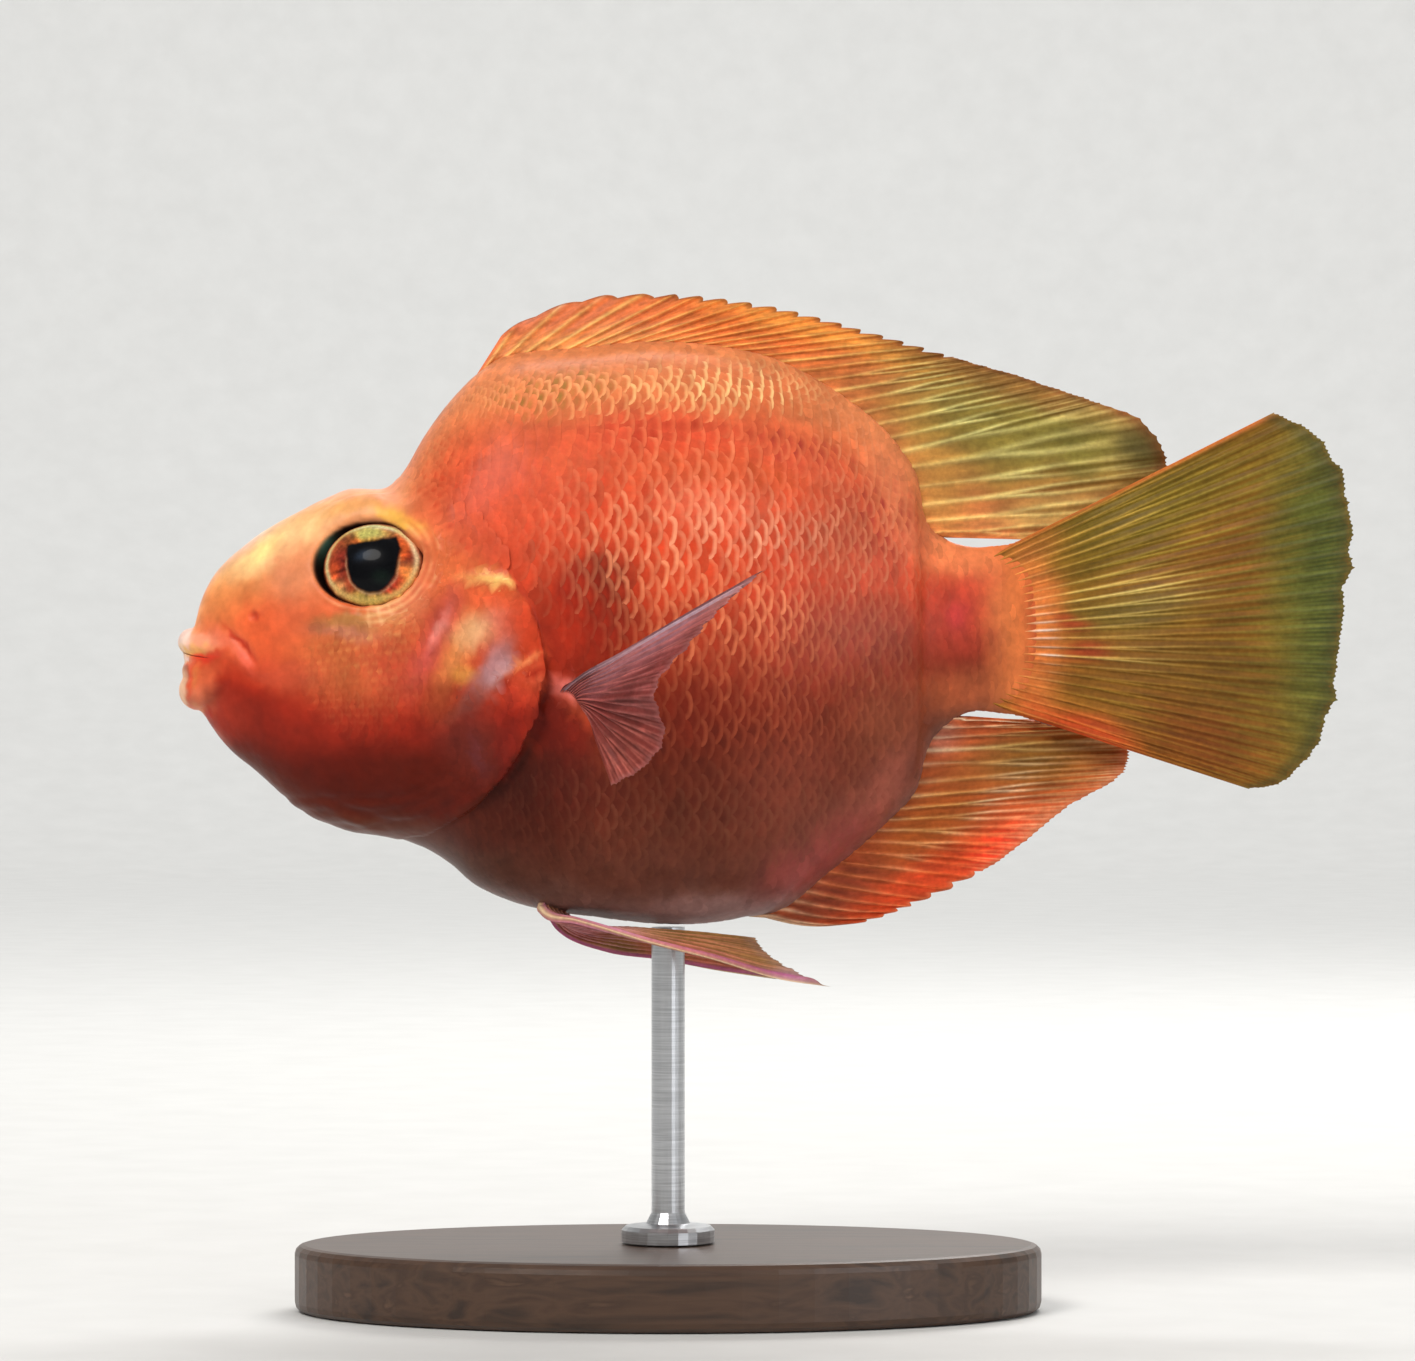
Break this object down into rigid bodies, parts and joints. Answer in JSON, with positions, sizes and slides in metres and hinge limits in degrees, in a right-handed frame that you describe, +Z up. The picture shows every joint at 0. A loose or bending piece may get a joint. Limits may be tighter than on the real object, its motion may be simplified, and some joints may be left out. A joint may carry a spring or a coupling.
{
  "type": "blood parrot cichlid",
  "caption": "Still life-size model of a deep-bodied aquarium fish with rounded forehead, small beak-like mouth, rayed fins and fan tail, held on an oval display stand.",
  "frame": {"origin": "on the flat underside of the stand's base, below the middle of the fish's length", "axes": "+X towards the tail, the nose points to -X; the fish's left side faces -Y; +Z up"},
  "size_m": [0.1752, 0.085, 0.1524],
  "materials": {
    "skin": "wet-looking orange-red fish skin with fine overlapping scales",
    "eye": "glossy clear eye over a gold and orange iris with a black pupil",
    "fin": "thin rayed membrane, orange at the front turning olive gold behind",
    "paired_fin": "thin pink rayed membrane",
    "stand_wood": "dark stained wood, satin varnish",
    "stand_steel": "brushed steel"
  },
  "bodies": {
    "root": {"head": "skin", "torso": "skin", "tail_base": "skin", "eye_left": "eye", "eye_right": "eye", "dorsal_fin": "fin", "anal_fin": "fin", "caudal_fin": "fin", "pectoral_fin_left": "paired_fin", "pectoral_fin_right": "paired_fin", "pelvic_fin_left": "paired_fin", "pelvic_fin_right": "paired_fin", "stand_base": "stand_wood", "stand_rod": "stand_steel"}
  },
  "joints": []
}
